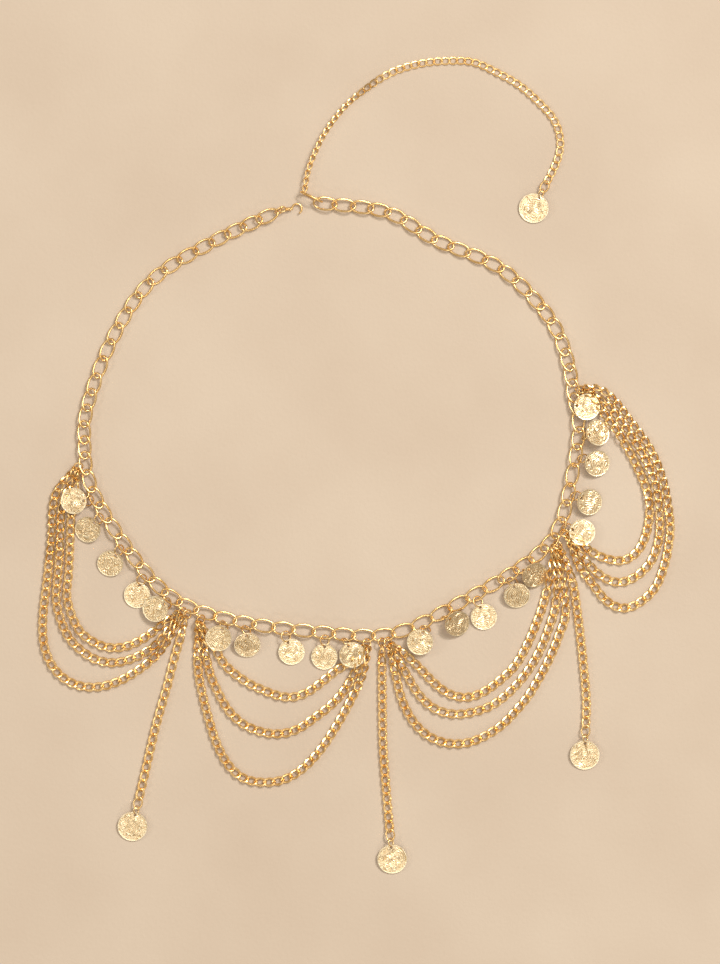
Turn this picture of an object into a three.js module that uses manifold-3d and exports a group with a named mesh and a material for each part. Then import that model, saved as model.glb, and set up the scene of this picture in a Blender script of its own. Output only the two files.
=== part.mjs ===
// Coin belt laid out flat, as worn round the hips: a main chain of large oval links with a hook
// and a tail chain, twenty small coins on jump rings, four groups of three hanging chains between
// five junctions, and three drops that end in larger coins.
// Millimetres, +Z up. +Y runs from the drops to the clasp. The origin is at the middle of the
// underside of the whole belt, which lies on z = 0.
import * as THREE from 'three';
import Module from 'manifold-3d';

const wasm = await Module();
wasm.setup();
const { Manifold, Mesh } = wasm;

// The middle of the belt's box in the drawing's own plan coordinates.
const PLAN_MIDDLE = { x: 0.2, y: -2.5 };

// Large oval link of the hip chain: half axes of its wire's centreline, wire, and how far the
// wire rises and falls along the link. The free twist is the one at the end of a stretch.
const LINK = { along: 7.05, out: 3.7, wire: 1.1, twist: 0.6, freeTwist: 1.2, segments: 8 };
// Links that carry no ring lie outside these two, and are drawn with fewer faces.
const RING_LINKS = { first: 20, last: 59 };
// Links in each stretch of the hip chain, from the hook on.
const STRETCHES = [8, 8, 8, 8, 8, 8, 8, 8, 7, 7];

// Jump ring: centreline radius, wire, how far its centre lies outside the link's wire, and its
// roll out of the flat, in degrees.
const RING = { radius: 3.2, wire: 0.8, offset: 0.9, roll: 33, segments: 8 };
// Ring through the narrow end of a link: smaller, and nearer to upright.
const END_RING = { radius: 2.5, wire: 0.7, offset: 0.8, roll: 55, segments: 8 };
// Ring that carries the chain ends at a junction.
const JUNCTION_RING = { radius: 2.7, wire: 0.8, offset: 0.8, roll: 36, segments: 8 };

// Coins: radius, thickness, hole radius, and the coin's rim beyond the middle of its hole.
const SMALL_COIN = { radius: 8, thickness: 0.8, hole: 0.95, rim: 1.7 };
const LARGE_COIN = { radius: 9, thickness: 0.8, hole: 0.95, rim: 1.7 };
// Middle of the coin's hole outside the jump ring's centreline.
const HOLE_OFFSET = 0.6;

// Fine chain drawn as a flat band: full width and height, tip width and height, spacing of its
// sections, and the room it leaves to its neighbours.
const FINE = { width: 4.8, height: 2.3, tip: 1.4, tipHeight: 1.6, pitch: 8, clear: 1, fixedHeight: 3.6 };
// Chain ends at a junction ring: sideways step, and where a free tip and a fixed one start beyond
// the ring's centreline.
const JUNCTION = { step: 2.5, free: 0.9, fixed: -0.7 };

// Hip chain: x, y, height of the wire, links to the next row.
const HIP_ROWS = [
  [-49.5, 151.5, 3, 4],
  [-88, 133.5, 1.65, 4],
  [-125.5, 109.5, 1.65, 4],
  [-149.5, 73, 1.65, 4],
  [-164, 33, 2.4, 2],
  [-165.8, 12.8, 2.7, 3],
  [-161, -18, 2.7, 5],
  [-132.5, -63, 2.7, 3],
  [-108, -86, 2.7, 3],
  [-73.5, -97.5, 2.7, 4],
  [-26, -104, 2.7, 4],
  [22.5, -105.3, 2.7, 4],
  [67.5, -84, 2.7, 3],
  [97, -67, 2.7, 2],
  [115, -53, 2.7, 2],
  [126, -35, 2.7, 5],
  [136, 18.5, 2.7, 2],
  [132.7, 38.5, 2.7, 2],
  [130, 57.5, 2.4, 3],
  [119, 86, 1.8, 4],
  [88.5, 117.5, 1.65, 4],
  [48, 135, 1.65, 3],
  [19, 152, 2, 4],
  [-24.5, 157.5, 3.2, 0],
];

// Small coins: hip link, place of the jump ring along it, swing of the coin round the ring
// (towards the next link is positive), upward pitch of the ring, height of the coin's far rim.
const COINS = [
  [22, 0, -26, 25, 2.9],
  [23, 1.8, 6, 25, 0.4],
  [25, 1.3, 17, 20, 0.4],
  [27, 1.6, 29, 5, 0.4],
  [29, 0, -27, 45, 2.9],
  [32, 0.2, -9, 48, 2.9],
  [33, 1.7, 8, 40, 0.4],
  [35, 2, 19, 0, 0.4],
  [37, 1.1, 0, 0, 0.4],
  [38, 2, 19, 60, 2.9],
  [42, 0, -42, 44, 3.1],
  [43, 1.6, 20, 75, 0.4],
  [45, -1.2, -2, 0, 0.4],
  [47, 0, -14, 30, 0.4],
  [48, 0.6, 8, 98, 0.4],
  [51, 1.8, 0, 25, 3.1],
  [53, 0, -13, 25, 0.4],
  [55, -1.2, -5, 30, 0.4],
  [56, 1.8, 13, 65, 0.4],
  [58, 0.8, -28, 132, 3.1],
];

// Junction rings: name, hip link, place along it, and the way its chains leave the ring, in
// degrees from straight out.
const JUNCTIONS = [
  ['one', 20, 1.6, 50],
  ['two_left', 30, -1.3, -20],
  ['two_drop', 30, 1.9, 0],
  ['two_right', 31, -1.2, 0],
  ['three_left', 39, 2, -25],
  ['three_drop', 40, -1.3, 0],
  ['three_right', 40, 2.2, 25],
  ['four_left', 50, -0.5, -35],
  ['four_drop', 50, 1.9, 35],
  ['four_right', 51, -1.4, 0],
  ['five', 59, 0.2, -20],
];

// Hanging chains: name, the junction ring and side they start from, the one they end at, and the
// places between: x, y, lift.
const SWAGS = [
  ['swag_1_long', 'one', -1, 'two_left', 1, [
    [-184, -22], [-186, -48], [-188.5, -72.5], [-191, -94], [-190.5, -112], [-184.5, -126.5],
    [-173.5, -135.5], [-159.5, -138], [-144, -134], [-128, -124], [-117, -113]]],
  ['swag_1_middle', 'one', 0, 'two_left', 0, [
    [-179, -26], [-180.5, -48], [-182, -69.5], [-183, -86], [-177, -105], [-168.5, -115],
    [-158, -121.5], [-146, -123], [-133, -119], [-122, -111.5]]],
  ['swag_1_short', 'one', 1, 'two_left', -1, [
    [-173.5, -30], [-174.5, -48], [-175.5, -69.5], [-176.5, -84], [-170, -102], [-161, -110],
    [-150, -114], [-138.5, -112.5], [-127, -106.5]]],
  ['swag_2_short', 'two_right', 1.4, 'three_left', -1, [
    [-81.5, -122.5], [-73, -130.5], [-65, -136], [-56, -140], [-46.5, -143.5], [-38, -144],
    [-29.5, -141], [-21, -135], [-12.5, -128], [-3, -122]]],
  ['swag_2_middle', 'two_right', 0, 'three_left', 0, [
    [-90, -126.5], [-85, -139.5], [-78, -152], [-69, -160.5], [-58.5, -165], [-47.5, -166.5],
    [-36.5, -164], [-26.5, -157.5], [-16, -149.5], [-7.5, -140.5], [-1.5, -130]]],
  ['swag_2_long', 'two_right', -1, 'three_left', 1, [
    [-96.5, -126.5], [-94, -141], [-90, -157], [-85, -172.5], [-78, -185.5], [-69, -193.5],
    [-57.5, -196], [-44.5, -194.5], [-33, -188], [-21.5, -176], [-11, -160], [-2.5, -144.5],
    [4, -130.5]]],
  ['swag_3_short', 'three_right', 1, 'four_left', -1, [
    [38.5, -126], [45, -133], [52.5, -139.5], [60.5, -143.5], [69.5, -144], [78.5, -140.5],
    [87.5, -134], [97, -125], [104, -113], [109.5, -100.5], [114, -88], [117, -76]]],
  ['swag_3_middle', 'three_right', 0, 'four_left', 0, [
    [32, -132.5], [39, -143.5], [48.5, -151.5], [60.5, -154.5], [72, -153], [83, -149],
    [92.5, -142], [101.5, -132.5], [109, -121.5], [114.5, -110.5], [119, -98], [122, -86]]],
  ['swag_3_long', 'three_right', -1, 'four_left', 0.8, [
    [24.5, -132], [27.5, -144.5], [33.5, -157], [41.5, -166], [51, -171], [60.5, -172.5],
    [69.5, -171.5], [79, -167.5], [88.5, -161.5], [97, -153], [105, -143.5], [112, -132],
    [119, -118.5], [124.5, -104.5], [128, -90.5]]],
  ['swag_4_short', 'four_right', 1, 'five', -1, [
    [143, -55], [152.5, -59.5], [162, -61], [170, -57], [175.5, -49], [178.5, -38],
    [179, -27], [177, -16.5], [173, -7], [168.5, 2.5], [163, 12], [157, 21], [151, 28.5],
    [146, 36.5]]],
  ['swag_4_middle', 'four_right', 0, 'five', 0, [
    [140.5, -61.5], [147.5, -68.5], [156, -73.5], [164.5, -73.5], [173.5, -68.5],
    [180.5, -60.5], [184.5, -49], [185.3, -36], [182.5, -14.5], [174, 5.5], [161.5, 23.5],
    [155, 32], [147.5, 39.5]]],
  ['swag_4_long', 'four_right', -1, 'five', 1, [
    [136.5, -65], [142, -72], [147.5, -79.5], [154, -86.5], [163.5, -90], [173.5, -86],
    [182.5, -77.5], [188, -64], [191, -49], [191.5, -36.5], [187.5, -12.5], [179, 8],
    [166, 26], [159, 35.5], [149, 44]]],
];

// Drops with a larger coin: name, junction ring, and the places down to the coin's ring: x, y.
const DROPS = [
  ['drop_1', 'two_drop', [[-111.5, -122.5], [-115, -136.5], [-122, -161], [-128.5, -189], [-132.5, -206]]],
  ['drop_2', 'three_drop', [[16, -146], [16.5, -174], [18.5, -202], [20.5, -225.5]]],
  ['drop_3', 'four_drop', [[132, -74], [135, -92], [138, -117.5], [140.5, -146], [140, -162]]],
];

// Open end link of a drop or of the tail: half axes, wire, height.
const END_LINK = { along: 3.6, out: 2.5, wire: 0.9, height: 2.55 };

// Link on edge between the hip chain and the tail: middle, direction, height of its middle, and
// where the finer chain starts on it.
const TAIL_LINK = { centre: [-27.3, 161], direction: [-0.9, 0.43], height: 4.3, chainStart: 5 };

// Hook: direction, dip, wire, eye radius, its shank as distance and radius, and its bow: middle,
// radius, and the angles it runs between.
const HOOK = {
  direction: [1, 0.03], dip: 7, wire: 1.1, eye: 1.8,
  shank: [[1.4, 0.6], [2, 1.2], [4.6, 1.2], [6, 0.7]],
  bowAt: 8.8, bow: 3, bowFrom: 190, bowTo: -65,
};

// Tail chain: x, y from the link that stands on edge to the coin's ring.
const TAIL = [
  [-29.4, 176.6], [-24.2, 190.3], [-16.6, 204], [-5.4, 217.7], [8.3, 228.8], [22, 237.3],
  [39.1, 242.5], [56.2, 244.2], [71.6, 243.4], [85.3, 237.3], [99, 229.7], [111, 219.4],
  [121.3, 207.4], [124.7, 193.7], [122.1, 181.7], [116.1, 169.7],
];

const UP = new THREE.Vector3(0, 0, 1);
const at = (x, y, z = 0) => new THREE.Vector3(x, y, z);
const radians = THREE.MathUtils.degToRad;
const smooth = (points) => new THREE.CatmullRomCurve3(points, false, 'catmullrom', 0.5);

// A point moved by given amounts along given directions.
function shifted(point, ...moves) {
  const result = point.clone();
  for (const [direction, amount] of moves) result.addScaledVector(direction, amount);
  return result;
}

// A skin over rings of points: closed round when looped, else capped at both ends.
function skin(rings, looped) {
  const sides = rings[0].length;
  const spans = looped ? rings.length : rings.length - 1;
  const triangles = [];
  for (let i = 0; i < spans; i += 1) {
    const here = i * sides;
    const next = ((i + 1) % rings.length) * sides;
    for (let j = 0; j < sides; j += 1) {
      const k = (j + 1) % sides;
      triangles.push([here + j, next + k, here + k], [here + j, next + j, next + k]);
    }
  }
  if (!looped) {
    const last = spans * sides;
    for (let j = 1; j < sides - 1; j += 1) {
      triangles.push([0, j, j + 1], [last, last + j + 1, last + j]);
    }
  }
  const vertProperties = Float32Array.from(rings.flat().flatMap((p) => [p.x, p.y, p.z]));
  const build = (list) => new Manifold(
    new Mesh({ numProp: 3, vertProperties, triVerts: Uint32Array.from(list.flat()) }));
  const solid = build(triangles);
  if (solid.volume() > 0) return solid;
  return build(triangles.map(([a, b, c]) => [a, c, b]));
}

// Corners of a wire's section, as sideways and upward shares of its half thickness.
const SQUARE = [[-1, -1], [-1, 1], [1, 1], [1, -1]];
const TRIANGLE = [[-1, -1], [0, 1], [1, -1]];

// A wire along a closed line of points; `normal` is a direction well off the wire.
function closedWire(points, wire, normal, corners) {
  const half = wire / 2;
  const rings = points.map((point, i) => {
    const ahead = points[(i + 1) % points.length];
    const behind = points[(i + points.length - 1) % points.length];
    const tangent = ahead.clone().sub(behind).normalize();
    const side = tangent.clone().cross(normal).normalize();
    const top = side.clone().cross(tangent).normalize();
    return corners.map(([s, t]) => shifted(point, [side, s * half], [top, t * half]));
  });
  return skin(rings, true);
}

// An oval or round loop of wire: flat sided, and sized so that its ends and sides reach the true
// curve. `rise` gives the height of the wire at an angle.
function loop({ centre, along, out, a, b, wire, segments, corners = SQUARE, rise = () => 0 }) {
  const grow = 1 / Math.cos(Math.PI / segments);
  const up = along.clone().cross(out).normalize();
  const points = [];
  for (let i = 0; i < segments; i += 1) {
    const t = (i + 0.5) / segments * 2 * Math.PI;
    points.push(shifted(centre, [along, a * grow * Math.cos(t)], [out, b * grow * Math.sin(t)], [up, rise(t)]));
  }
  return closedWire(points, wire, up, corners);
}

// Places where neighbouring hip links cross, from the hook on.
function crossings() {
  const curve = smooth(HIP_ROWS.map(([x, y, z]) => at(x, y, z)));
  const spans = HIP_ROWS.length - 1;
  const places = [];
  HIP_ROWS.forEach(([, , , links], row) => {
    for (let i = 0; i < links; i += 1) places.push(curve.getPoint((row + i / links) / spans));
  });
  places.push(curve.getPoint(1));
  return places;
}

const CROSSINGS = crossings();
const LINK_COUNT = CROSSINGS.length - 1;

// First and last link of every stretch.
const STRETCH_ENDS = STRETCHES.map((count, i) => {
  const before = STRETCHES.slice(0, i).reduce((sum, n) => sum + n, 0);
  return [before + 1, before + count];
});

// Place and directions of a hip link, with the twist at its far and near end.
function linkFrame(number) {
  const from = CROSSINGS[number - 1];
  const to = CROSSINGS[number];
  const along = to.clone().sub(from).setZ(0).normalize();
  const first = STRETCH_ENDS.some(([start]) => start === number);
  const last = STRETCH_ENDS.some(([, end]) => end === number);
  return {
    centre: from.clone().add(to).multiplyScalar(0.5),
    along,
    out: along.clone().cross(UP),
    farTwist: last ? LINK.freeTwist : LINK.twist,
    nearTwist: first ? LINK.freeTwist : LINK.twist,
  };
}

const isPlain = (number) => number > 1 && number < LINK_COUNT &&
  (number < RING_LINKS.first || number > RING_LINKS.last);

function hipLink(number) {
  const frame = linkFrame(number);
  const twist = (t) => (Math.cos(t) > 0 ? frame.farTwist : frame.nearTwist);
  return loop({
    ...frame, a: LINK.along, b: LINK.out, wire: LINK.wire,
    ...(isPlain(number) ? { segments: 6, corners: TRIANGLE } : { segments: LINK.segments }),
    rise: (t) => -twist(t) * Math.sin(2 * t),
  });
}

// Where a ring hangs on a hip link: a place on the wire at its outer side, the direction the ring
// hangs in, and the direction across it.
function hangPoint(number, place) {
  const { centre, along, out, farTwist, nearTwist } = linkFrame(number);
  const flatReach = LINK.along * Math.tan(Math.PI / LINK.segments);
  const height = (place > 0 ? farTwist : nearTwist) * place / flatReach * Math.SQRT1_2;
  const round = Math.acos(place / LINK.along);
  const turn = Math.atan2(LINK.out * Math.cos(round), LINK.along * Math.sin(round));
  const outward = shifted(at(0, 0), [out, Math.cos(turn)], [along, Math.sin(turn)]);
  return {
    point: shifted(centre, [along, place], [out, LINK.out], [UP, height]),
    outward,
    across: UP.clone().cross(outward),
  };
}

// A jump ring at a hang point, leaning up by the pitch and rolled out of the flat so that the
// wire it hangs on, which rises towards the next link, stays clear inside it.
function ringFrame({ point, outward, across }, pitch, ring = RING) {
  const lean = radians(pitch);
  const roll = radians(-ring.roll);
  const reach = shifted(at(0, 0), [outward, Math.cos(lean)], [UP, Math.sin(lean)]);
  const normal = shifted(at(0, 0), [outward, -Math.sin(lean)], [UP, Math.cos(lean)]);
  const cross = shifted(at(0, 0), [across, Math.cos(roll)], [normal, Math.sin(roll)]);
  return { centre: shifted(point, [reach, ring.offset]), along: reach, out: cross };
}

function jumpRing(frame, ring = RING) {
  return loop({ ...frame, a: ring.radius, b: ring.radius, wire: ring.wire, segments: ring.segments });
}

// A round plate given by its middle, its axis and a direction in its plane.
function disc(centre, axis, inPlane, radius, thickness, sides) {
  const other = axis.clone().cross(inPlane).normalize();
  const grow = 1 / Math.sqrt(Math.cos(Math.PI / sides));
  const ringAt = (height) => Array.from({ length: sides }, (_, i) => {
    const t = (i + 0.5) / sides * 2 * Math.PI;
    return shifted(centre, [axis, height], [inPlane, radius * grow * Math.cos(t)],
      [other, radius * grow * Math.sin(t)]);
  });
  return skin([ringAt(-thickness / 2), ringAt(thickness / 2)], false);
}

// A coin on its jump ring: it swings round the ring, and falls back from its hole to its rest.
function hungCoin(hang, swing, pitch, rest, coin, ring = RING) {
  const span = 2 * coin.radius - coin.rim;
  const frame = ringFrame(hang, pitch, ring);
  const turn = radians(swing);
  const reach = ring.radius + HOLE_OFFSET;
  const hole = shifted(frame.centre, [frame.along, reach * Math.cos(turn)], [frame.out, reach * Math.sin(turn)]);
  const fall = Math.asin((hole.z - rest) / span);
  const away = shifted(at(0, 0), [hang.outward, Math.cos(turn)], [hang.across, Math.sin(turn)]);
  const face = shifted(at(0, 0), [away, Math.cos(fall)], [UP, -Math.sin(fall)]);
  const axis = shifted(at(0, 0), [away, Math.sin(fall)], [UP, Math.cos(fall)]);
  const plate = disc(shifted(hole, [face, coin.radius - coin.rim]), axis, face, coin.radius, coin.thickness, 12);
  const drill = disc(hole, axis, face, coin.hole, 3 * coin.thickness, 5);
  return plate.subtract(drill).add(jumpRing(frame, ring));
}

// A fine chain as a flat band along a route, narrow at its tips and where its neighbours, given
// as lists of points, leave it little room. A band fixed to rings stands higher at its tips.
function band(route, tipped, neighbours, fixed) {
  const curve = smooth(route);
  const length = curve.getLength();
  const count = Math.round(length / FINE.pitch);
  const rings = [];
  for (let i = 0; i <= count; i += 1) {
    const u = i / count;
    const point = curve.getPointAt(u);
    const fromTip = Math.min(tipped[0] ? u * length : length, tipped[1] ? (1 - u) * length : length);
    const room = Math.min(...neighbours.map((other) => other.distanceTo(point)));
    const width = Math.max(FINE.tip, Math.min(FINE.width, FINE.tip + fromTip / 3, room - FINE.clear));
    const free = Math.min(FINE.height, FINE.tipHeight + fromTip / 10);
    const height = fixed ? Math.max(FINE.height, FINE.fixedHeight - fromTip / 8) : free;
    const side = curve.getTangentAt(u).cross(UP).normalize();
    const low = [side, -width / 2];
    const high = [side, width / 2];
    rings.push([shifted(point, low), shifted(point, low, [UP, height]),
      shifted(point, high, [UP, height]), shifted(point, high)]);
  }
  return skin(rings, false);
}

const HANGS = new Map(JUNCTIONS.map(([name, link, place, leave]) => [name, { ...hangPoint(link, place), leave }]));

// Start of a chain at a junction ring: side 0 is fixed to the ring, the others lie beside it.
function chainStart(name, side) {
  const { point, outward, across, leave } = HANGS.get(name);
  const { centre, along, out } = ringFrame({ point, outward, across }, 0, JUNCTION_RING);
  const angle = radians(leave);
  const away = shifted(at(0, 0), [along, Math.cos(angle)], [out, Math.sin(angle)]);
  const flat = away.clone().setZ(0).normalize();
  const reach = JUNCTION_RING.radius + (side === 0 ? JUNCTION.fixed : JUNCTION.free);
  return shifted(centre, [away, reach], [UP.clone().cross(flat), side * JUNCTION.step]).setZ(0);
}

const junctionRing = (name) => jumpRing(ringFrame(HANGS.get(name), 0, JUNCTION_RING), JUNCTION_RING);

const place = ([x, y, z]) => at(x, y, z);
const SWAG_ROUTES = SWAGS.map(([name, from, fromSide, to, toSide, places]) => [
  name, [chainStart(from, fromSide), ...places.map(place), chainStart(to, toSide)]]);
const DROP_ROUTES = DROPS.map(([name, ring, places]) => [name, [chainStart(ring, 0), ...places.map(place)]]);
const ROUTES = new Map([...SWAG_ROUTES, ...DROP_ROUTES]);

// Points every millimetre or so along all chains but one.
function neighboursOf(name) {
  return [...ROUTES].filter(([other]) => other !== name)
    .flatMap(([, route]) => smooth(route).getSpacedPoints(200));
}

const parts = [];
const add = (name, solid) => parts.push([name, solid]);

STRETCH_ENDS.forEach(([start, end], i) => {
  let stretch = hipLink(start);
  for (let number = start + 1; number <= end; number += 1) stretch = stretch.add(hipLink(number));
  add(`hip_chain_${i + 1}`, stretch);
});

COINS.forEach(([link, along, swing, pitch, rest], i) => {
  add(`coin_${i + 1}`, hungCoin(hangPoint(link, along), swing, pitch, rest, SMALL_COIN));
});

for (const [name, from, fromSide, to] of SWAGS) {
  const fixed = fromSide === 0;
  let chain = band(ROUTES.get(name), [true, true], neighboursOf(name), fixed);
  if (fixed) {
    chain = chain.add(junctionRing(from)).add(junctionRing(to));
  }
  add(name, chain);
}

// The open link at the end of a drop or of the tail, and the hang point it gives a coin.
function endLink(route) {
  const curve = smooth(route);
  const along = curve.getTangentAt(1).setZ(0).normalize();
  const out = along.clone().cross(UP);
  const centre = shifted(curve.getPointAt(1), [along, END_LINK.along - 1]).setZ(END_LINK.height);
  return {
    solid: loop({ centre, along, out, a: END_LINK.along, b: END_LINK.out, wire: END_LINK.wire, segments: 8 }),
    hang: { point: shifted(centre, [along, END_LINK.along]), outward: along, across: out.clone().negate() },
  };
}

for (const [name, ring] of DROPS) {
  const { solid, hang } = endLink(ROUTES.get(name));
  const chain = band(ROUTES.get(name), [true, false], neighboursOf(name), true);
  add(name, chain.add(junctionRing(ring)).add(solid));
  add(`${name}_coin`, hungCoin(hang, 0, 5, 0.4, LARGE_COIN, END_RING));
}

// Tail: a large link on edge through the last hip link, the finer chain, and its coin.
{
  const { centre, direction, height } = TAIL_LINK;
  const along = at(...direction).normalize();
  const middle = at(centre[0], centre[1], height);
  const onEdge = loop({
    centre: middle, along, out: UP, a: LINK.along, b: LINK.out, wire: LINK.wire, segments: LINK.segments });
  const route = [shifted(middle, [along, TAIL_LINK.chainStart]).setZ(0), ...TAIL.map(place)];
  const { solid, hang } = endLink(route);
  add('tail_chain', band(route, [true, false], [at(1000, 0)], false).add(onEdge).add(solid));
  add('tail_chain_coin', hungCoin(hang, 0, 5, 0.4, LARGE_COIN, END_RING));
}

// Clasp: a ring through the end of the first hip link, and the wire hook that hangs on it.
{
  const first = linkFrame(1);
  const outward = first.along.clone().negate();
  const hang = { point: shifted(first.centre, [outward, LINK.along]), outward, across: first.out };
  const ring = ringFrame(hang, 0, { ...END_RING, roll: -END_RING.roll });
  add('clasp_ring', jumpRing(ring, END_RING));
  const pivot = shifted(ring.centre, [ring.along, END_RING.radius]);
  const flat = at(...HOOK.direction).normalize();
  const dip = radians(HOOK.dip);
  const away = shifted(at(0, 0), [flat, Math.cos(dip)], [UP, -Math.sin(dip)]);
  const above = shifted(at(0, 0), [flat, Math.sin(dip)], [UP, Math.cos(dip)]);
  const side = above.clone().cross(away);
  const eyeSide = away.clone().cross(ring.out).normalize();
  const eye = loop({ centre: pivot, along: away, out: eyeSide, a: HOOK.eye, b: HOOK.eye, wire: HOOK.wire, segments: 8 });
  const section = (middle, normal, radius) => Array.from({ length: 6 }, (_, i) => {
    const t = i / 3 * Math.PI;
    return shifted(middle, [above, radius * Math.cos(t)], [normal, radius * Math.sin(t)]);
  });
  const shank = skin(HOOK.shank.map(([s, radius]) => section(shifted(pivot, [away, s]), side, radius)), false);
  const bow = [];
  for (let i = 0; i <= 8; i += 1) {
    const t = radians(HOOK.bowFrom + (HOOK.bowTo - HOOK.bowFrom) * i / 8);
    const radial = shifted(at(0, 0), [away, Math.cos(t)], [side, Math.sin(t)]);
    bow.push(section(shifted(pivot, [away, HOOK.bowAt], [radial, HOOK.bow]), radial, HOOK.wire / 2));
  }
  add('hook', eye.add(shank).add(skin(bow, false)));
}

const group = new THREE.Group();
group.name = 'coin_belt';

function geometryOf(solid) {
  const { vertProperties, triVerts, numProp } = solid.getMesh();
  const geometry = new THREE.BufferGeometry();
  const points = new Float32Array(vertProperties.length / numProp * 3);
  for (let i = 0; i < points.length / 3; i += 1) {
    points[3 * i] = vertProperties[numProp * i] - PLAN_MIDDLE.x;
    points[3 * i + 1] = vertProperties[numProp * i + 1] - PLAN_MIDDLE.y;
    points[3 * i + 2] = vertProperties[numProp * i + 2];
  }
  geometry.setAttribute('position', new THREE.BufferAttribute(points, 3));
  geometry.setIndex(Array.from(triVerts));
  geometry.computeVertexNormals();
  return geometry;
}

for (const [name, solid] of parts) {
  const tone = name.includes('coin') ? 0xd9b878 : 0xcf9a45;
  const material = new THREE.MeshStandardMaterial({ color: tone, metalness: 1, roughness: 0.3 });
  material.name = name.includes('coin') ? 'pale_gold' : 'gold';
  const mesh = new THREE.Mesh(geometryOf(solid), material);
  mesh.name = name;
  group.add(mesh);
}

export default group;
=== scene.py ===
# Coin belt laid out flat: a hip chain of large oval links with a hook at one end and a tail chain
# at the other, small hammered coins, four groups of hanging curb chains and three drops.
# It is drawn in millimetres in the belt's own plan, and each piece is set down in metres.
import math

import bpy
from mathutils import Matrix, Vector, kdtree, noise


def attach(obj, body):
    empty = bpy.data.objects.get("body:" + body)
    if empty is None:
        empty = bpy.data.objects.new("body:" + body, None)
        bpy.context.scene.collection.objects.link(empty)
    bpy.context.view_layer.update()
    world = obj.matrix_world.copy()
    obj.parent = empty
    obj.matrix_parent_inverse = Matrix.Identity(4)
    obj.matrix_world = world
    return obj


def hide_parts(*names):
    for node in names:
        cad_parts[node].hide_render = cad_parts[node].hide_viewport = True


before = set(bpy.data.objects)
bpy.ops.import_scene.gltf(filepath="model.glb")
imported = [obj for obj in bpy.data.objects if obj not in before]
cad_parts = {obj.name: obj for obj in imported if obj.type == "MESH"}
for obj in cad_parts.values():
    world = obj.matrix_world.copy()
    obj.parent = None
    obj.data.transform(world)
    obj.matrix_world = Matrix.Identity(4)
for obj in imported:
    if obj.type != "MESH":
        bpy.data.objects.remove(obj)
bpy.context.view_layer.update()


# View, table and light
# The belt lies on a pale plastered table and is seen from straight above through a long lens.
# A low key light at the upper right throws its shadows to the lower left.
VIEW_TALL = 0.588
VIEW_MIDDLE = (0.0021, -0.0103)
LENS = 200
SENSOR = 36
MIDDLE_HEIGHT = 0.002
TABLE_SIZE = 5.0
TABLE_DROP = 0.0001
GRAIN_DEPTH = 0.0008
PLASTER_DARK, PLASTER_LIGHT = (0.600, 0.500, 0.405), (0.655, 0.560, 0.462)
# Studio round the table, from its lowest part to its highest: height from 0 to 1, and colour.
STUDIO = [(0.0, (0.26, 0.18, 0.11)), (0.72, (0.46, 0.38, 0.28)), (1.0, (1.0, 0.93, 0.82))]
STUDIO_STRENGTH = 0.85

camera_height = MIDDLE_HEIGHT + VIEW_TALL * LENS / SENSOR
bpy.ops.object.camera_add(location=(*VIEW_MIDDLE, camera_height), rotation=(0, 0, 0))
camera = bpy.context.object
camera.data.lens = LENS
camera.data.sensor_width = SENSOR
camera.data.clip_end = 50
bpy.context.scene.camera = camera

bpy.ops.mesh.primitive_plane_add(size=TABLE_SIZE, location=(0, 0, -TABLE_DROP))
table = bpy.context.object
table.name = "table"
plaster = bpy.data.materials.new("table_plaster")
plaster.use_nodes = True
nodes, links = plaster.node_tree.nodes, plaster.node_tree.links
shader = nodes["Principled BSDF"]
shader.inputs["Roughness"].default_value = 0.85
shader.inputs["Specular IOR Level"].default_value = 0.2
place = nodes.new("ShaderNodeTexCoord")
clouds = nodes.new("ShaderNodeTexNoise")
clouds.inputs["Scale"].default_value = 9
clouds.inputs["Detail"].default_value = 6
tint = nodes.new("ShaderNodeValToRGB")
tint.color_ramp.elements[0].position = 0.3
tint.color_ramp.elements[0].color = (*PLASTER_DARK, 1)
tint.color_ramp.elements[1].position = 0.7
tint.color_ramp.elements[1].color = (*PLASTER_LIGHT, 1)
grains = nodes.new("ShaderNodeTexNoise")
grains.inputs["Scale"].default_value = 420
grains.inputs["Detail"].default_value = 4
grain_bump = nodes.new("ShaderNodeBump")
grain_bump.inputs["Strength"].default_value = 0.25
grain_bump.inputs["Distance"].default_value = GRAIN_DEPTH
for texture in (clouds, grains):
    links.new(place.outputs["Object"], texture.inputs["Vector"])
links.new(clouds.outputs["Fac"], tint.inputs["Fac"])
links.new(tint.outputs["Color"], shader.inputs["Base Color"])
links.new(grains.outputs["Fac"], grain_bump.inputs["Height"])
links.new(grain_bump.outputs["Normal"], shader.inputs["Normal"])
table.data.materials.append(plaster)

world = bpy.data.worlds.new("studio")
world.use_nodes = True
nodes, links = world.node_tree.nodes, world.node_tree.links
sky = nodes.new("ShaderNodeTexCoord")
height = nodes.new("ShaderNodeSeparateXYZ")
fade = nodes.new("ShaderNodeValToRGB")
fade.color_ramp.elements.new(STUDIO[1][0])
for stop, (_, colour) in zip(fade.color_ramp.elements, STUDIO):
    stop.color = (*colour, 1)
links.new(sky.outputs["Generated"], height.inputs["Vector"])
links.new(height.outputs["Z"], fade.inputs["Fac"])
links.new(fade.outputs["Color"], nodes["Background"].inputs["Color"])
nodes["Background"].inputs["Strength"].default_value = STUDIO_STRENGTH
bpy.context.scene.world = world
bpy.context.scene.view_settings.view_transform = "Standard"


def studio_light(kind, position, power, size, colour):
    """A lamp that faces the belt. Its size is metres across, or degrees for the sun."""
    bpy.ops.object.light_add(type=kind, location=position)
    light = bpy.context.object
    light.rotation_euler = (-Vector(position)).to_track_quat("-Z", "Y").to_euler()
    light.data.energy = power
    light.data.color = colour
    if kind == "AREA":
        light.data.shape = "DISK"
        light.data.size = size
    else:
        light.data.angle = math.radians(size)


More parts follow.
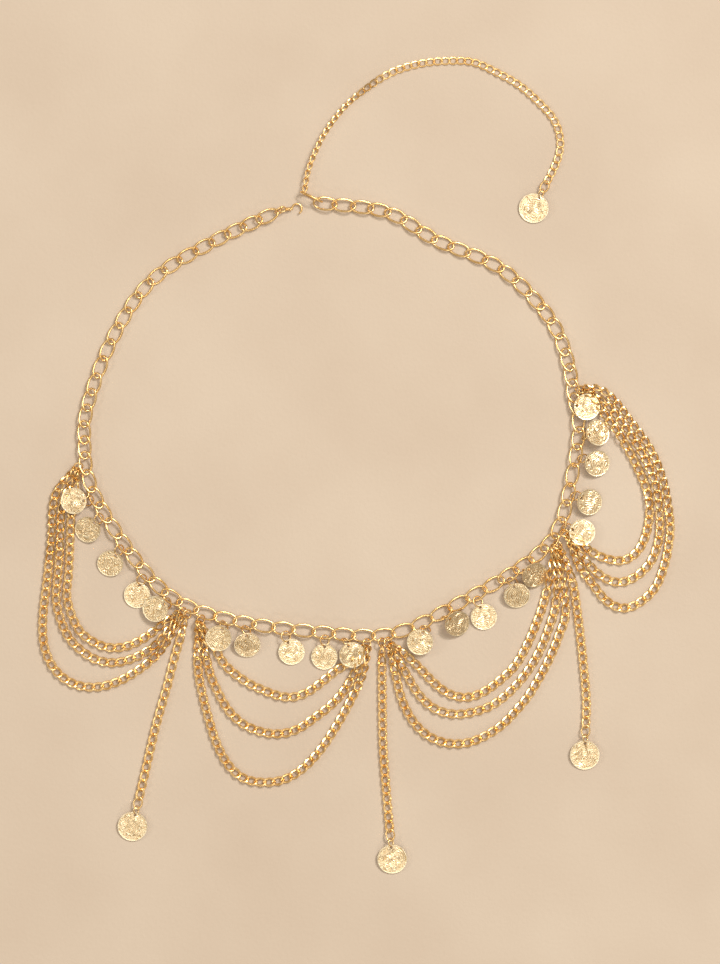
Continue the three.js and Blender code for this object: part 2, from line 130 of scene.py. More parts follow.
studio_light("SUN", (1.1, 1.25, 1.9), 0.9, 7, (1.0, 0.96, 0.90))
studio_light("AREA", (1.0, 0.9, 1.8), 22, 1.0, (1.0, 0.97, 0.92))
studio_light("AREA", (-0.2, -0.6, 4.0), 14, 1.8, (1.0, 0.96, 0.88))
studio_light("AREA", (-1.7, 0.3, 1.2), 5, 0.5, (1.0, 0.94, 0.86))
studio_light("AREA", (0.2, -1.9, 1.1), 4, 0.4, (1.0, 0.94, 0.86))


# Hip chain
# One row of large oval links of round wire, each twisted a little so that it lies flat through
# its neighbours. The table gives the chain's path: x, y, height of the wire, links to the next row.
UP = Vector((0, 0, 1))
PLAN_MIDDLE = Vector((0.2, -2.5, 0))
HIP_LINK = {"long": 7.05, "wide": 3.7, "wire": 1.3, "twist": 0.85}
HIP_WIRE_HEIGHT_TWIST = 0.6
HIP_CORNER = 2.92
LARGE_LINK_FACES = (28, 8)
SHARPEST_SMOOTHED = 50
HIP_PATH = [
    (-49.5, 151.5, 3, 4), (-88, 133.5, 1.65, 4), (-125.5, 109.5, 1.65, 4), (-149.5, 73, 1.65, 4),
    (-164, 33, 2.4, 2), (-165.8, 12.8, 2.7, 3), (-161, -18, 2.7, 5), (-132.5, -63, 2.7, 3),
    (-108, -86, 2.7, 3), (-73.5, -97.5, 2.7, 4), (-26, -104, 2.7, 4), (22.5, -105.3, 2.7, 4),
    (67.5, -84, 2.7, 3), (97, -67, 2.7, 2), (115, -53, 2.7, 2), (126, -35, 2.7, 5),
    (136, 18.5, 2.7, 2), (132.7, 38.5, 2.7, 2), (130, 57.5, 2.4, 3), (119, 86, 1.8, 4),
    (88.5, 117.5, 1.65, 4), (48, 135, 1.65, 3), (19, 152, 2, 4), (-24.5, 157.5, 3.2, 0),
]


def smooth_path(points, steps):
    """Points along the smooth curve through the given ones, with so many steps to each stretch."""
    before = points[0] * 2 - points[1]
    after = points[-1] * 2 - points[-2]
    rows = [before, *points, after]
    result = []
    for row in range(len(points) - 1):
        a, b, c, d = rows[row:row + 4]
        start, end = (c - a) * 0.5, (d - b) * 0.5
        count = steps[row] if isinstance(steps, list) else steps
        for i in range(count):
            u = i / count
            result.append(b + start * u + (b * -3 + c * 3 - start * 2 - end) * u ** 2
                          + (b * 2 - c * 2 + start + end) * u ** 3)
    result.append(points[-1].copy())
    return result


def only(piece):
    """Makes this the one selected and active object."""
    bpy.ops.object.select_all(action="DESELECT")
    piece.select_set(True)
    bpy.context.view_layer.objects.active = piece


def bent_link(name, half_long, half_wide, wire, twist, around, across):
    """An oval link of round wire, whose corners rise and fall in turn by its twist."""
    bpy.ops.object.select_all(action="DESELECT")
    bpy.ops.mesh.primitive_torus_add(
        major_segments=around, minor_segments=across, major_radius=half_long, minor_radius=wire / 2)
    link = bpy.context.object
    link.name = name
    for vertex in link.data.vertices:
        x, y, z = vertex.co
        turn = math.atan2(y, x)
        off = math.hypot(x, y) - half_long
        outward = Vector((half_wide * math.cos(turn), half_long * math.sin(turn), 0)).normalized()
        vertex.co = outward * off + Vector((
            half_long * math.cos(turn), half_wide * math.sin(turn), z - twist * math.sin(2 * turn)))
    return link


def laid(pattern, place, along, aside, up):
    """A copy of a pattern, with its own mesh, turned and moved to its place."""
    copy = pattern.copy()
    copy.data = pattern.data.copy()
    bpy.context.scene.collection.objects.link(copy)
    copy.data.transform(Matrix.Translation(place) @ Matrix((along, aside, up)).transposed().to_4x4())
    return copy


def joined(name, pieces):
    """Makes one piece of several, under a name of its own."""
    bpy.ops.object.select_all(action="DESELECT")
    for piece in pieces:
        piece.select_set(True)
    bpy.context.view_layer.objects.active = pieces[0]
    if len(pieces) > 1:
        bpy.ops.object.join()
    piece = bpy.context.view_layer.objects.active
    piece.name = name
    piece.data.name = name
    return piece


def set_down(piece, material, slot, body, *cad_nodes):
    """Puts a drawn piece on the table in metres, with its finish and its body, and hides the CAD
    parts that it stands for.
    """
    piece.data.transform(Matrix.Scale(0.001, 4) @ Matrix.Translation(-PLAN_MIDDLE))
    piece.data.materials.clear()
    piece.data.materials.append(material)
    only(piece)
    bpy.ops.object.shade_smooth_by_angle(angle=math.radians(SHARPEST_SMOOTHED))
    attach(piece, body)
    if cad_nodes:
        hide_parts(*cad_nodes)


def plated_metal(name, deep, bright, rough_low, rough_high, painted_shade_attribute=None):
    """Gold-coloured plating: tone and gloss change a little over the piece, with fine scratches.
    With a painted shade attribute, the colour follows that attribute instead: painted shade, darker
    in the hollows and lighter on the ridges.
    """
    metal = bpy.data.materials.new(name)
    metal.use_nodes = True
    nodes, links = metal.node_tree.nodes, metal.node_tree.links
    shader = nodes["Principled BSDF"]
    shader.inputs["Metallic"].default_value = 1
    place = nodes.new("ShaderNodeTexCoord")
    tone = nodes.new("ShaderNodeTexNoise")
    tone.inputs["Scale"].default_value = 160
    tone.inputs["Detail"].default_value = 3
    ramp = nodes.new("ShaderNodeValToRGB")
    ramp.color_ramp.elements[0].position = 0.32
    ramp.color_ramp.elements[0].color = (*deep, 1)
    ramp.color_ramp.elements[1].position = 0.68
    ramp.color_ramp.elements[1].color = (*bright, 1)
    gloss = nodes.new("ShaderNodeMapRange")
    gloss.inputs["To Min"].default_value = rough_low
    gloss.inputs["To Max"].default_value = rough_high
    scratches = nodes.new("ShaderNodeTexNoise")
    scratches.inputs["Scale"].default_value = 1900
    scratches.inputs["Detail"].default_value = 2
    bump = nodes.new("ShaderNodeBump")
    bump.inputs["Strength"].default_value = 0.12
    bump.inputs["Distance"].default_value = 0.0001
    for texture in (tone, scratches):
        links.new(place.outputs["Object"], texture.inputs["Vector"])
    source = tone.outputs["Fac"]
    # When it is given, the attribute sets the colour in place of the tone noise: painted shade,
    # darker in the hollows and lighter on the ridges.
    if painted_shade_attribute:
        painted_shade_node = nodes.new("ShaderNodeAttribute")
        painted_shade_node.attribute_name = painted_shade_attribute
        source = painted_shade_node.outputs["Fac"]
    links.new(source, ramp.inputs["Fac"])
    links.new(ramp.outputs["Color"], shader.inputs["Base Color"])
    links.new(tone.outputs["Fac"], gloss.inputs["Value"])
    links.new(gloss.outputs["Result"], shader.inputs["Roughness"])
    links.new(scratches.outputs["Fac"], bump.inputs["Height"])
    links.new(bump.outputs["Normal"], shader.inputs["Normal"])
    return metal


gold = plated_metal("gold_plating", (0.93, 0.61, 0.24), (1.0, 0.76, 0.39), 0.22, 0.34)

crossings = smooth_path([Vector(row[:3]) for row in HIP_PATH], [row[3] for row in HIP_PATH])
hip_pattern = bent_link("hip_pattern", HIP_LINK["long"], HIP_LINK["wide"], HIP_LINK["wire"],
                        HIP_LINK["twist"], *LARGE_LINK_FACES)


def hip_frame(number):
    """Middle, direction along the chain and direction outwards of a numbered hip link."""
    start, end = crossings[number - 1], crossings[number]
    along = end - start
    along.z = 0
    along.normalize()
    return (start + end) / 2, along, along.cross(UP)


hip_links = []
for number in range(1, len(crossings)):
    middle, along, out = hip_frame(number)
    hip_links.append(laid(hip_pattern, middle, along, -out, UP))
bpy.data.objects.remove(hip_pattern)
hip_stretches = [f"hip_chain_{stretch}" for stretch in range(1, 11)]
set_down(joined("hip_links", hip_links), gold, "gold", "belt", *hip_stretches)


# Coins and their jump rings
# Each coin is a thin round of pale plated sheet, hammered all over and left plain at its edge.
# It hangs on a jump ring through a hole, and swings round the wire that the ring hangs on.
RING = {"radius": 3.2, "wire": 0.8, "offset": 0.9, "roll": 33}
END_RING = {"radius": 2.5, "wire": 0.7, "offset": 0.8, "roll": 55}
SMALL_COIN, LARGE_COIN = 8, 9
COIN_THICK = 0.8
COIN_HOLE = 0.95
COIN_RIM = 1.7
COIN_FACES_AROUND, COIN_CIRCLES = 128, 28
HOLE_FACES = 20
HOLE_BEYOND_RING = 0.6
RING_FACES = (24, 8)
# Small coins: hip link, place along it, swing round the ring, upward lean, height of the far rim.
COINS = [
    (22, 0, -26, 25, 2.9), (23, 1.8, 6, 25, 0.4), (25, 1.3, 17, 20, 0.4), (27, 1.6, 29, 5, 0.4),
    (29, 0, -27, 45, 2.9), (32, 0.2, -9, 48, 2.9), (33, 1.7, 8, 40, 0.4), (35, 2, 19, 0, 0.4),
    (37, 1.1, 0, 0, 0.4), (38, 2, 19, 60, 2.9), (42, 0, -42, 44, 3.1), (43, 1.6, 20, 75, 0.4),
    (45, -1.2, -2, 0, 0.4), (47, 0, -14, 30, 0.4), (48, 0.6, 8, 98, 0.4), (51, 1.8, 0, 25, 3.1),
    (53, 0, -13, 25, 0.4), (55, -1.2, -5, 30, 0.4), (56, 1.8, 13, 65, 0.4), (58, 0.8, -28, 132, 3.1),
]
RELIEF = 0.13
RELIEF_BORDER = 0.55
# Ridges a millimetre apart drift and wander over the coin, and dents break them up.
HAMMER = {
    "drift_size": 0.22, "drift": 1.6, "ridges": 5.9, "wander_size": 0.5, "wander": 2.4,
    "dents_along": 0.8, "dents_across": 1.6, "dents": 0.9, "border": 0.8, "border_blend": 0.2,
}
# How far each coin steps on through the noise, so that no two are alike.
COIN_STEP = {"drift": 7.1, "flow": 1.3, "wander": 3.7, "dents": 5.3, "dents_from": 20}

# The coins' colour runs from the deep tone in the hammered hollows to the bright one on the ridges:
# painted shade.
pale_gold = plated_metal("coin_plating_with_painted_shade", (0.86, 0.63, 0.35), (1.0, 0.88, 0.64), 0.32, 0.44, "painted_relief_shade")


def plain_coin(name, radius):
    """A round sheet with a fine net of faces and a hole near its edge, which points along -X."""
    bpy.ops.object.select_all(action="DESELECT")
    bpy.ops.mesh.primitive_circle_add(
        vertices=COIN_FACES_AROUND, radius=radius, fill_type="NGON")
    coin = bpy.context.object
    coin.name = name
    bpy.ops.object.mode_set(mode="EDIT")
    bpy.ops.mesh.select_all(action="SELECT")
    for _ in range(COIN_CIRCLES - 1):
        bpy.ops.mesh.inset(thickness=radius / COIN_CIRCLES, use_even_offset=False)
    bpy.ops.mesh.poke()
    bpy.ops.mesh.select_all(action="SELECT")
    bpy.ops.object.mode_set(mode="OBJECT")
    wall = coin.modifiers.new("wall", "SOLIDIFY")
    wall.thickness = COIN_THICK
    wall.offset = 0
    bpy.ops.object.modifier_apply(modifier=wall.name)
    bpy.ops.mesh.primitive_cylinder_add(
        vertices=HOLE_FACES, radius=COIN_HOLE, depth=4 * COIN_THICK,
        location=(COIN_RIM - radius, 0, 0))
    drill = bpy.context.object
    only(coin)
    cut = coin.modifiers.new("hole", "BOOLEAN")
    cut.object = drill
    cut.solver = "EXACT"
    bpy.ops.object.modifier_apply(modifier=cut.name)
    bpy.data.objects.remove(drill)
    return coin


def hammer(coin, radius, seed):
    """Hammers short ridges and dents into a coin, and notes how high each point stands, as painted
    shade for its colour: darker in the hollows, lighter on the ridges.
    """
    drift_size, wander_size = HAMMER["drift_size"], HAMMER["wander_size"]
    depth = []
    for vertex in coin.data.vertices:
        x, y, _ = vertex.co
        reach = math.hypot(x, y)
        drift = noise.noise(Vector((x * drift_size, y * drift_size, seed * COIN_STEP["drift"])))
        flow = seed * COIN_STEP["flow"] + drift * HAMMER["drift"]
        along = x * math.cos(flow) + y * math.sin(flow)
        across = y * math.cos(flow) - x * math.sin(flow)
        wander = noise.noise(Vector((x * wander_size, y * wander_size, seed * COIN_STEP["wander"])))
        ridge = math.sin(across * HAMMER["ridges"] + HAMMER["wander"] * wander)
        dents = noise.noise(Vector((along * HAMMER["dents_along"], across * HAMMER["dents_across"],
                                    seed * COIN_STEP["dents"] + COIN_STEP["dents_from"])))
        height = max(-1, min(1, ridge + HAMMER["dents"] * dents))
        border = max(0, min(1, (reach - radius + RELIEF_BORDER) / HAMMER["border_blend"]))
        height = height * (1 - border) + HAMMER["border"] * border
        vertex.co.z += RELIEF * height
        # Painted shade: a point's height, 0 in the deepest hollow and 1 on the highest ridge, sets
        # how dark its colour is.
        depth.append(0.5 + 0.5 * height)
    painted_relief_shade = coin.data.attributes.new("painted_relief_shade", "FLOAT", "POINT")
    painted_relief_shade.data.foreach_set("value", depth)


def hang_point(number, place):
    """Where a ring hangs on the outer wire of a hip link, and the ways outward and across."""
    middle, along, out = hip_frame(number)
    height = HIP_WIRE_HEIGHT_TWIST * place / HIP_CORNER * math.sqrt(0.5)
    around = math.acos(place / HIP_LINK["long"])
    turn = math.atan2(HIP_LINK["wide"] * math.cos(around), HIP_LINK["long"] * math.sin(around))
    outward = out * math.cos(turn) + along * math.sin(turn)
    point = middle + along * place + out * HIP_LINK["wide"] + UP * height
    return point, outward, UP.cross(outward)


def ring_frame(point, outward, across, lean, ring, roll_side=-1):
    """Middle of a hung ring, the way that it reaches outwards, and its other way across."""
    lean, roll = math.radians(lean), math.radians(ring["roll"]) * roll_side
    reach = outward * math.cos(lean) + UP * math.sin(lean)
    normal = UP * math.cos(lean) - outward * math.sin(lean)
    cross = across * math.cos(roll) + normal * math.sin(roll)
    return point + reach * ring["offset"], reach, cross


def wire_ring(name, ring, frame_of_ring):
    """A round jump ring of wire at its place."""
    middle, reach, cross = frame_of_ring
    pattern = bent_link(
        f"{name}_pattern", ring["radius"], ring["radius"], ring["wire"], 0, *RING_FACES)
    ring_piece = laid(pattern, middle, reach, cross, reach.cross(cross))
    bpy.data.objects.remove(pattern)
    ring_piece.name = name
    return ring_piece


def hung_coin(name, pattern, radius, hang, swing, lean, rest, ring, seed):
    """A hammered coin and its jump ring, with the coin's far rim at its resting height."""
    point, outward, across = hang
    middle, reach, cross = ring_frame(point, outward, across, lean, ring)
    swing = math.radians(swing)
    on_ring = reach * math.cos(swing) + cross * math.sin(swing)
    hole = middle + on_ring * (ring["radius"] + HOLE_BEYOND_RING)
    fall = math.asin((hole.z - rest) / (2 * radius - COIN_RIM))
    away = outward * math.cos(swing) + across * math.sin(swing)
    face = away * math.cos(fall) - UP * math.sin(fall)
    axis = away * math.sin(fall) + UP * math.cos(fall)
    loose = pattern.copy()
    loose.data = pattern.data.copy()
    bpy.context.scene.collection.objects.link(loose)
    hammer(loose, radius, seed)
    coin = laid(loose, hole + face * (radius - COIN_RIM), face, axis.cross(face), axis)
    bpy.data.objects.remove(loose)
    set_down(joined(f"{name}_disc", [coin]), pale_gold, "pale_gold", name, name)
    jump_ring = wire_ring(f"{name}_ring", ring, (middle, reach, cross))
    set_down(joined(f"{name}_ring", [jump_ring]), gold, "gold", name)


small_pattern = plain_coin("small_pattern", SMALL_COIN)
for count, (number, place, swing, lean, rest) in enumerate(COINS, start=1):
    hung_coin(f"coin_{count}", small_pattern, SMALL_COIN, hang_point(number, place),
              swing, lean, rest, RING, count)
bpy.data.objects.remove(small_pattern)


# Junction rings
# Eleven stout jump rings on the hip chain carry the hanging chains: name, hip link, place along
# it, and the way the chains leave the ring, in degrees from straight out.
JUNCTION_RING = {"radius": 2.7, "wire": 0.9, "offset": 0.8, "roll": 36}
JUNCTIONS = {
    "one": (20, 1.6, 50), "two_left": (30, -1.3, -20), "two_drop": (30, 1.9, 0),
    "two_right": (31, -1.2, 0), "three_left": (39, 2, -25), "three_drop": (40, -1.3, 0),
    "three_right": (40, 2.2, 25), "four_left": (50, -0.5, -35), "four_drop": (50, 1.9, 35),
    "four_right": (51, -1.4, 0), "five": (59, 0.2, -20),
}
junction_frames = {}
junction_rings = []
for name, (number, place, leave) in JUNCTIONS.items():
    junction_frames[name] = ring_frame(*hang_point(number, place), 0, JUNCTION_RING)
    junction_rings.append(wire_ring(f"junction_{name}", JUNCTION_RING, junction_frames[name]))
set_down(joined("junction_rings", junction_rings), gold, "gold", "belt")


# Hanging chains
# Three fine curb chains hang between each two junctions. Their links are twisted flat, and stand
# on edge where the chains crowd at a ring. The table gives each one's two rings, and its path.
CURB = {"long": 3.5, "wide": 2.15, "wire": 1.38, "twist": 0.95, "pitch": 5.6}
CURB_WIDE = 5.5
CURB_FACES = (12, 6)
CHAIN_ROOM = 0.4
EDGE_LEAN, EDGE_RUN = 78, 14
TABLE_CLEARANCE = 0.05
PATH_STEPS = 24
SWAGS = {
    "swag_1_long": ("one", -1, "two_left", 1, [
        (-184, -22), (-186, -48), (-188.5, -72.5), (-191, -94), (-190.5, -112), (-184.5, -126.5),
        (-173.5, -135.5), (-159.5, -138), (-144, -134), (-128, -124), (-117, -113)]),
    "swag_1_middle": ("one", 0, "two_left", 0, [
        (-179, -26), (-180.5, -48), (-182, -69.5), (-183, -86), (-177, -105), (-168.5, -115),
        (-158, -121.5), (-146, -123), (-133, -119), (-122, -111.5)]),
    "swag_1_short": ("one", 1, "two_left", -1, [
        (-173.5, -30), (-174.5, -48), (-175.5, -69.5), (-176.5, -84), (-170, -102), (-161, -110),
        (-150, -114), (-138.5, -112.5), (-127, -106.5)]),
    "swag_2_short": ("two_right", 1.4, "three_left", -1, [
        (-81.5, -122.5), (-73, -130.5), (-65, -136), (-56, -140), (-46.5, -143.5), (-38, -144),
        (-29.5, -141), (-21, -135), (-12.5, -128), (-3, -122)]),
    "swag_2_middle": ("two_right", 0, "three_left", 0, [
        (-90, -126.5), (-85, -139.5), (-78, -152), (-69, -160.5), (-58.5, -165), (-47.5, -166.5),
        (-36.5, -164), (-26.5, -157.5), (-16, -149.5), (-7.5, -140.5), (-1.5, -130)]),
    "swag_2_long": ("two_right", -1, "three_left", 1, [
        (-96.5, -126.5), (-94, -141), (-90, -157), (-85, -172.5), (-78, -185.5), (-69, -193.5),
        (-57.5, -196), (-44.5, -194.5), (-33, -188), (-21.5, -176), (-11, -160), (-2.5, -144.5),
        (4, -130.5)]),
    "swag_3_short": ("three_right", 1, "four_left", -1, [
        (38.5, -126), (45, -133), (52.5, -139.5), (60.5, -143.5), (69.5, -144), (78.5, -140.5),
        (87.5, -134), (97, -125), (104, -113), (109.5, -100.5), (114, -88), (117, -76)]),
    "swag_3_middle": ("three_right", 0, "four_left", 0, [
        (32, -132.5), (39, -143.5), (48.5, -151.5), (60.5, -154.5), (72, -153), (83, -149),
        (92.5, -142), (101.5, -132.5), (109, -121.5), (114.5, -110.5), (119, -98), (122, -86)]),
    "swag_3_long": ("three_right", -1, "four_left", 0.8, [
        (24.5, -132), (27.5, -144.5), (33.5, -157), (41.5, -166), (51, -171), (60.5, -172.5),
        (69.5, -171.5), (79, -167.5), (88.5, -161.5), (97, -153), (105, -143.5), (112, -132),
        (119, -118.5), (124.5, -104.5), (128, -90.5)]),
    "swag_4_short": ("four_right", 1, "five", -1, [
        (143, -55), (152.5, -59.5), (162, -61), (170, -57), (175.5, -49), (178.5, -38),
        (179, -27), (177, -16.5), (173, -7), (168.5, 2.5), (163, 12), (157, 21), (151, 28.5),
        (146, 36.5)]),
    "swag_4_middle": ("four_right", 0, "five", 0, [
        (140.5, -61.5), (147.5, -68.5), (156, -73.5), (164.5, -73.5), (173.5, -68.5),
        (180.5, -60.5), (184.5, -49), (185.3, -36), (182.5, -14.5), (174, 5.5), (161.5, 23.5),
        (155, 32), (147.5, 39.5)]),
    "swag_4_long": ("four_right", -1, "five", 1, [
        (136.5, -65), (142, -72), (147.5, -79.5), (154, -86.5), (163.5, -90), (173.5, -86),
        (182.5, -77.5), (188, -64), (191, -49), (191.5, -36.5), (187.5, -12.5), (179, 8),
        (166, 26), (159, 35.5), (149, 44)]),
}
# Drops: ring, and the path down to the coin.
DROPS = {
    "drop_1": ("two_drop", [
        (-111.5, -122.5), (-115, -136.5), (-122, -161), (-128.5, -189), (-132.5, -206)]),
    "drop_2": ("three_drop", [(16, -146), (16.5, -174), (18.5, -202), (20.5, -225.5)]),
    "drop_3": ("four_drop", [(132, -74), (135, -92), (138, -117.5), (140.5, -146), (140, -162)]),
}
SIDE_STEP = 1.9
SIDE_REACH = -0.2
MIDDLE_REACH = -0.7


def chain_start(ring_name, side):
    """Where a chain's first link takes hold of its junction ring."""
    middle, reach, cross = junction_frames[ring_name]
    leave = math.radians(JUNCTIONS[ring_name][2])
    away = reach * math.cos(leave) + cross * math.sin(leave)
    flat = Vector((away.x, away.y, 0)).normalized()
    beyond = JUNCTION_RING["radius"] + (MIDDLE_REACH if side == 0 else SIDE_REACH)
    point = middle + away * beyond + UP.cross(flat) * side * SIDE_STEP
    point.z = 0
    return point


def on_plan(rows):
    """Points on the table for the rows of a path."""
    return [Vector((x, y, 0)) for x, y in rows]


chain_paths = {}
for name, (start, start_side, end, end_side, rows) in SWAGS.items():
    route = [chain_start(start, start_side), *on_plan(rows), chain_start(end, end_side)]
    chain_paths[name] = smooth_path(route, PATH_STEPS)
for name, (start, rows) in DROPS.items():
    chain_paths[name] = smooth_path([chain_start(start, 0), *on_plan(rows)], PATH_STEPS)


def spaced(path, pitch):
    """Ends of the links along a path: as many as fit, all the same length."""
    run = [0]
    for a, b in zip(path, path[1:]):
        run.append(run[-1] + (b - a).length)
    count = round(run[-1] / pitch)
    ends, row = [], 0
    for i in range(count + 1):
        want = run[-1] * i / count
        while row < len(run) - 2 and run[row + 1] < want:
            row += 1
        share = (want - run[row]) / (run[row + 1] - run[row])
        ends.append(path[row].lerp(path[row + 1], share))
    return ends, run[-1]


def curb_links(pattern, path, pitch, lean_of):
    """Lays curb links along a path, each leaning as asked, with its lowest wire on the table."""
    ends, length = spaced(path, pitch)
    made = []
    for i, (start, end) in enumerate(zip(ends, ends[1:])):
        middle, along = (start + end) / 2, (end - start).normalized()
        lean = lean_of(middle, length * (i + 0.5) / (len(ends) - 1), length)
        level = UP.cross(along)
        aside = level * math.cos(lean) + UP * math.sin(lean)
        up = UP * math.cos(lean) - level * math.sin(lean)
        link = laid(pattern, Vector((middle.x, middle.y, 0)), along, aside, up)
        lowest = min(vertex.co.z for vertex in link.data.vertices)
        link.data.transform(Matrix.Translation((0, 0, TABLE_CLEARANCE - lowest)))
        made.append(link)
    return made


def crowding(name):
    """How far the links of a chain must lean to leave room for its neighbours."""
    others = [point for other, path in chain_paths.items() if other != name for point in path[::3]]
    tree = kdtree.KDTree(len(others))
    for i, point in enumerate(others):
        tree.insert(point, i)
    tree.balance()
    rings_at_both_ends = name in SWAGS

    def lean_of(middle, run, length):
        room = tree.find(middle)[2] - CHAIN_ROOM
        crowd = math.acos(max(0.1, min(1, (room - CURB["wire"]) / (CURB_WIDE - CURB["wire"]))))
        from_ring = min(run, length - run) if rings_at_both_ends else run
        at_ring = math.radians(EDGE_LEAN) * max(0, 1 - from_ring / EDGE_RUN)
        return max(crowd, at_ring)
    return lean_of


curb_pattern = bent_link(
    "curb_pattern", CURB["long"], CURB["wide"], CURB["wire"], CURB["twist"], *CURB_FACES)
for name in SWAGS:
    chain = curb_links(curb_pattern, chain_paths[name], CURB["pitch"], crowding(name))
    set_down(joined(f"{name}_links", chain), gold, "gold", "belt", name)


# Drops
# Three single curb chains hang from the junctions. Each ends in an open oval link, whose ring
# carries a larger coin.
END_LINK = {"long": 3.6, "wide": 2.5, "wire": 0.95, "twist": 0.2, "height": 2.55, "inside": 1}
END_COIN = {"swing": 0, "lean": 5, "rest": 0.4, "ring": END_RING}
DROP_SEED = 30
large_pattern = plain_coin("large_pattern", LARGE_COIN)
end_pattern = bent_link("end_pattern", END_LINK["long"], END_LINK["wide"], END_LINK["wire"],
                        END_LINK["twist"], *RING_FACES)


def end_link(path):
    """The open link at a chain's end, and the place that it gives a coin's ring."""
    along = (path[-1] - path[-2]).normalized()
    middle = path[-1] + along * (END_LINK["long"] - END_LINK["inside"])
    middle.z = END_LINK["height"]
    link = laid(end_pattern, middle, along, UP.cross(along), UP)
    return link, (middle + along * END_LINK["long"], along, UP.cross(along))


for count, name in enumerate(DROPS, start=1):
    chain = curb_links(curb_pattern, chain_paths[name], CURB["pitch"], crowding(name))
    last, hang = end_link(chain_paths[name])
    set_down(joined(f"{name}_links", [*chain, last]), gold, "gold", "belt", name)
    hung_coin(f"{name}_coin", large_pattern, LARGE_COIN, hang, seed=DROP_SEED + count, **END_COIN)
bpy.data.objects.remove(curb_pattern)


# Tail
# The adjusting chain at the end of the hip chain is of finer links than the hip chain. It starts
# on a large link that stands on edge, and ends in a coin.
TAIL_LINK = {"middle": (-27.3, 161), "direction": (-0.9, 0.43), "height": 4.3, "chain_start": 5}
TAIL_CURB = {"long": 2.8, "wide": 2.0, "wire": 1.0, "twist": 0.58, "pitch": 4.65}
TAIL_ON_EDGE, TAIL_LEAN, TAIL_LEAN_RUN = 95, 60, 30
EDGE_LINK_NARROWER = 0.2
TAIL_SEED = 40
TAIL = [
    (-29.4, 176.6), (-24.2, 190.3), (-16.6, 204), (-5.4, 217.7), (8.3, 228.8), (22, 237.3),
    (39.1, 242.5), (56.2, 244.2), (71.6, 243.4), (85.3, 237.3), (99, 229.7), (111, 219.4),
    (121.3, 207.4), (124.7, 193.7), (122.1, 181.7), (116.1, 169.7),
]
direction = Vector((*TAIL_LINK["direction"], 0)).normalized()
tail_middle = Vector((*TAIL_LINK["middle"], TAIL_LINK["height"]))
edge_pattern = bent_link("edge_pattern", HIP_LINK["long"], HIP_LINK["wide"] - EDGE_LINK_NARROWER,
                         HIP_LINK["wire"], 0, *LARGE_LINK_FACES)
edge_link = laid(edge_pattern, tail_middle, direction, UP, direction.cross(UP))
bpy.data.objects.remove(edge_pattern)
tail_start = tail_middle + direction * TAIL_LINK["chain_start"]
tail_start.z = 0
tail_path = smooth_path([tail_start, *on_plan(TAIL)], PATH_STEPS)


def tail_lean(middle, run, length):
    """The tail's links lean in its first stretch, then turn flat."""
    return math.radians(TAIL_LEAN) * max(0, min(1, (TAIL_ON_EDGE - run) / TAIL_LEAN_RUN))


tail_pattern = bent_link("tail_pattern", TAIL_CURB["long"], TAIL_CURB["wide"], TAIL_CURB["wire"],
                         TAIL_CURB["twist"], *CURB_FACES)
chain = curb_links(tail_pattern, tail_path, TAIL_CURB["pitch"], tail_lean)
bpy.data.objects.remove(tail_pattern)
last, hang = end_link(tail_path)
set_down(joined("tail_links", [edge_link, *chain, last]), gold, "gold", "belt", "tail_chain")
hung_coin("tail_chain_coin", large_pattern, LARGE_COIN, hang, seed=TAIL_SEED, **END_COIN)
bpy.data.objects.remove(large_pattern)
bpy.data.objects.remove(end_pattern)


# Clasp
# The belt closes with a wire hook. Its eye sits on a ring through the first hip link, the wire is
# wound round its own neck, and it ends in an open bow.
HOOK = {"direction": (1, 0.03), "dip": 7, "wire": 1.1, "eye": 1.8, "bow_at": 8.8, "bow": 3.0}
WINDING = {"from": 1.9, "to": 5.2, "radius": 0.75, "wire": 0.7, "turns": 4.5, "steps": 12}
EYE_ANGLES = range(15, 346, 15)
NECK_PLACES = (3, 4.5, 5.8)
BOW_FROM, BOW_SWEEP, BOW_STEPS = 190, 255, 24


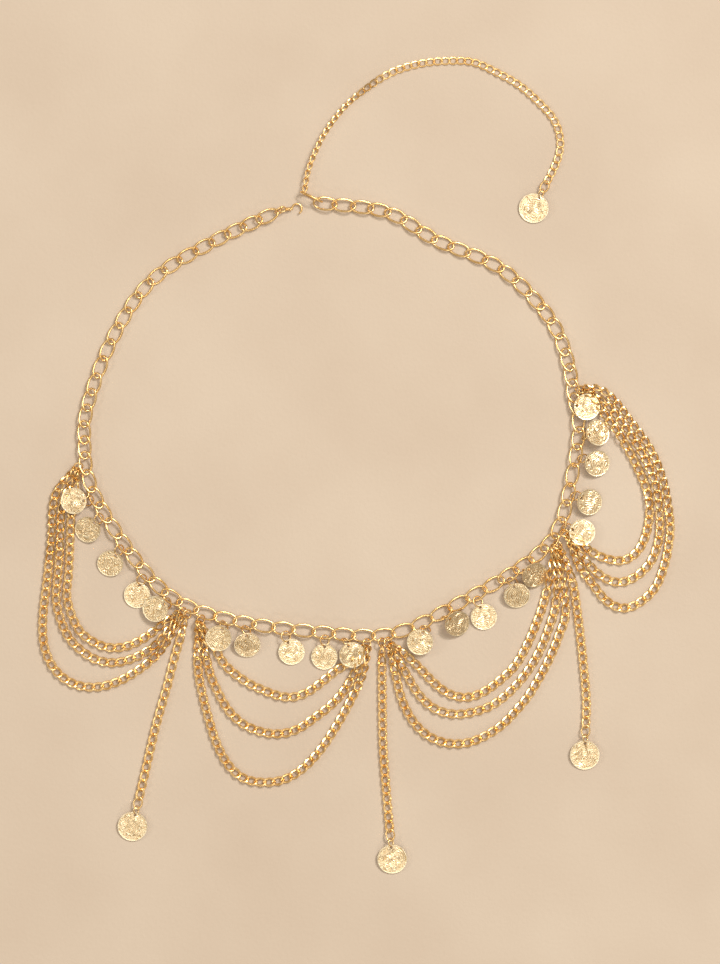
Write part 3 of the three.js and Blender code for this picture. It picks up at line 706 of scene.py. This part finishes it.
def drawn_wire(name, points, thickness):
    """Round wire drawn through the given points, as a closed mesh."""
    curve = bpy.data.curves.new(name, "CURVE")
    curve.dimensions = "3D"
    curve.bevel_depth = thickness / 2
    curve.bevel_resolution = 3
    curve.use_fill_caps = True
    spline = curve.splines.new("POLY")
    spline.points.add(len(points) - 1)
    for slot_point, point in zip(spline.points, points):
        slot_point.co = (*point, 1)
    wire = bpy.data.objects.new(name, curve)
    bpy.context.scene.collection.objects.link(wire)
    only(wire)
    bpy.ops.object.convert(target="MESH")
    return bpy.context.object


first_middle, first_along, first_out = hip_frame(1)
clasp_hang = (first_middle - first_along * HIP_LINK["long"], -first_along, first_out)
clasp_frame = ring_frame(*clasp_hang, 0, END_RING, 1)
set_down(joined("clasp_ring_wire", [wire_ring("clasp_wire", END_RING, clasp_frame)]),
         gold, "gold", "clasp_ring", "clasp_ring")

ring_middle, ring_reach, ring_cross = clasp_frame
pivot = ring_middle + ring_reach * END_RING["radius"]
flat = Vector((*HOOK["direction"], 0)).normalized()
dip = math.radians(HOOK["dip"])
away = flat * math.cos(dip) - UP * math.sin(dip)
above = flat * math.sin(dip) + UP * math.cos(dip)
side = above.cross(away)
eye_side = away.cross(ring_cross).normalized()
eye = [pivot + away * HOOK["eye"] * math.cos(t) + eye_side * HOOK["eye"] * math.sin(t)
       for t in map(math.radians, EYE_ANGLES)]
neck = [pivot + away * s for s in (HOOK["eye"], *NECK_PLACES)]
bow = [pivot + away * HOOK["bow_at"] + (away * math.cos(t) + side * math.sin(t)) * HOOK["bow"]
       for t in (math.radians(BOW_FROM - BOW_SWEEP * i / BOW_STEPS) for i in range(BOW_STEPS + 1))]
winding = []
winding_steps = int(WINDING["turns"] * WINDING["steps"])
for i in range(winding_steps + 1):
    t = i / WINDING["steps"] * 2 * math.pi
    s = WINDING["from"] + (WINDING["to"] - WINDING["from"]) * i / winding_steps
    winding.append(pivot + away * s + (above * math.cos(t) + side * math.sin(t)) * WINDING["radius"])
hook_wires = [
    drawn_wire("hook_eye", eye, HOOK["wire"]),
    drawn_wire("hook_neck", [*neck, *bow], HOOK["wire"]),
    drawn_wire("hook_winding", winding, WINDING["wire"]),
]
set_down(joined("hook_wire", hook_wires), gold, "gold", "hook", "hook")
